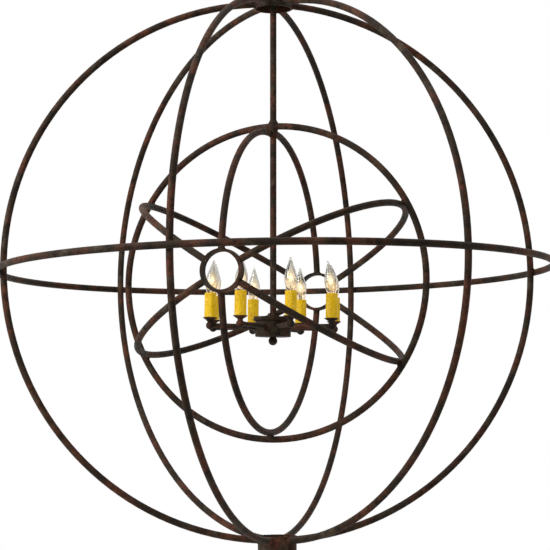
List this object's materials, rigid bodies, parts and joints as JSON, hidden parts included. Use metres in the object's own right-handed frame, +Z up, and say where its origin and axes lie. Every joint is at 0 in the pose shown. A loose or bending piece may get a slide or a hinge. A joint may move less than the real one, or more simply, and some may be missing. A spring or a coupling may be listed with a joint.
{
  "type": "orb chandelier",
  "caption": "Open orb chandelier: a sphere of round tube hoops with a smaller hoop sphere inside it, and a ring of candle lights on a central stem that hangs by an eye loop.",
  "frame": {"origin": "centre of the hanging eye, where the chain or hook goes through", "axes": "+Z up along the stem, -Y along the level axis of the inner orb towards its front pole ring, +X to the right of that"},
  "size_m": [1.3761, 1.3763, 1.4711],
  "materials": {
    "rust_iron": "dark brown-black with mottled rust, satin",
    "candle_resin": "amber-yellow cast resin with brown flecks, waxy",
    "lamp_glass": "clear",
    "lamp_brass": "bright",
    "socket_phenolic": "moulded",
    "lead_insulation": "matte",
    "plated_steel": "zinc plated"
  },
  "bodies": {
    "frame": {"outer_rib_1": "rust_iron", "outer_rib_2": "rust_iron", "outer_rib_3": "rust_iron", "outer_rib_4": "rust_iron", "outer_rib_5": "rust_iron", "outer_rib_6": "rust_iron", "outer_equator": "rust_iron", "top_hub_ring": "rust_iron", "top_hub_plate": "rust_iron", "bottom_hub_ring": "rust_iron", "bottom_hub_plate": "rust_iron", "hang_loop": "rust_iron", "stem": "rust_iron", "hub_washers": "rust_iron", "hub_nuts": "rust_iron", "pan_nuts": "rust_iron"},
    "inner_orb": {"inner_collar": "rust_iron", "collar_set_screw": "plated_steel", "inner_equator": "rust_iron", "inner_rib_top_front": "rust_iron", "inner_rib_top_rear": "rust_iron", "inner_rib_upper_right": "rust_iron", "inner_rib_lower_right": "rust_iron", "inner_rib_bottom": "rust_iron", "inner_rib_lower_left": "rust_iron", "inner_rib_upper_left": "rust_iron", "pole_ring_front": "rust_iron", "pole_ring_rear": "rust_iron"},
    "cluster": {"pan_top": "rust_iron", "pan_drum": "rust_iron", "pan_cover": "rust_iron", "pan_crossbar": "plated_steel", "junction_block": "socket_phenolic", "finial_stud": "plated_steel", "feed_leads": "lead_insulation", "arms": "rust_iron", "candle_cups": "rust_iron", "drip_dishes": "rust_iron", "socket_nipples": "plated_steel", "lamp_sockets": "socket_phenolic", "candle_sleeves": "candle_resin", "arm_leads": "lead_insulation"},
    "finial": {"finial": "rust_iron"},
    "lamp_1": {"lamp_glass_1": "lamp_glass", "lamp_base_1": "lamp_brass"},
    "lamp_2": {"lamp_glass_2": "lamp_glass", "lamp_base_2": "lamp_brass"},
    "lamp_3": {"lamp_glass_3": "lamp_glass", "lamp_base_3": "lamp_brass"},
    "lamp_4": {"lamp_glass_4": "lamp_glass", "lamp_base_4": "lamp_brass"},
    "lamp_5": {"lamp_glass_5": "lamp_glass", "lamp_base_5": "lamp_brass"},
    "lamp_6": {"lamp_glass_6": "lamp_glass", "lamp_base_6": "lamp_brass"},
    "lamp_7": {"lamp_glass_7": "lamp_glass", "lamp_base_7": "lamp_brass"},
    "lamp_8": {"lamp_glass_8": "lamp_glass", "lamp_base_8": "lamp_brass"}
  },
  "joints": [
    {"name": "inner_orb_turn", "type": "hinge", "parent": "frame", "child": "inner_orb", "pos_m": [0, 0, -0.3928], "axis": [0, 0, 1], "continuous": true},
    {"name": "cluster_turn", "type": "hinge", "parent": "frame", "child": "cluster", "pos_m": [0, 0, -0.8669], "axis": [0, 0, 1], "range_deg": [-170, 170]},
    {"name": "finial_turn", "type": "hinge", "parent": "cluster", "child": "finial", "pos_m": [0, 0, -0.8669], "axis": [0.0087, 0.0122, 0.9999], "continuous": true},
    {"name": "lamp_1_lift", "type": "slide", "parent": "cluster", "child": "lamp_1", "axis": [0.0087, 0.0122, 0.9999], "range_m": [0, 0.022]},
    {"name": "lamp_2_lift", "type": "slide", "parent": "cluster", "child": "lamp_2", "axis": [0.0087, 0.0122, 0.9999], "range_m": [0, 0.022]},
    {"name": "lamp_3_lift", "type": "slide", "parent": "cluster", "child": "lamp_3", "axis": [0.0087, 0.0122, 0.9999], "range_m": [0, 0.022]},
    {"name": "lamp_4_lift", "type": "slide", "parent": "cluster", "child": "lamp_4", "axis": [0.0087, 0.0122, 0.9999], "range_m": [0, 0.022]},
    {"name": "lamp_5_lift", "type": "slide", "parent": "cluster", "child": "lamp_5", "axis": [0.0087, 0.0122, 0.9999], "range_m": [0, 0.022]},
    {"name": "lamp_6_lift", "type": "slide", "parent": "cluster", "child": "lamp_6", "axis": [0.0087, 0.0122, 0.9999], "range_m": [0, 0.022]},
    {"name": "lamp_7_lift", "type": "slide", "parent": "cluster", "child": "lamp_7", "axis": [0.0087, 0.0122, 0.9999], "range_m": [0, 0.022]},
    {"name": "lamp_8_lift", "type": "slide", "parent": "cluster", "child": "lamp_8", "axis": [0.0087, 0.0122, 0.9999], "range_m": [0, 0.022]}
  ]
}
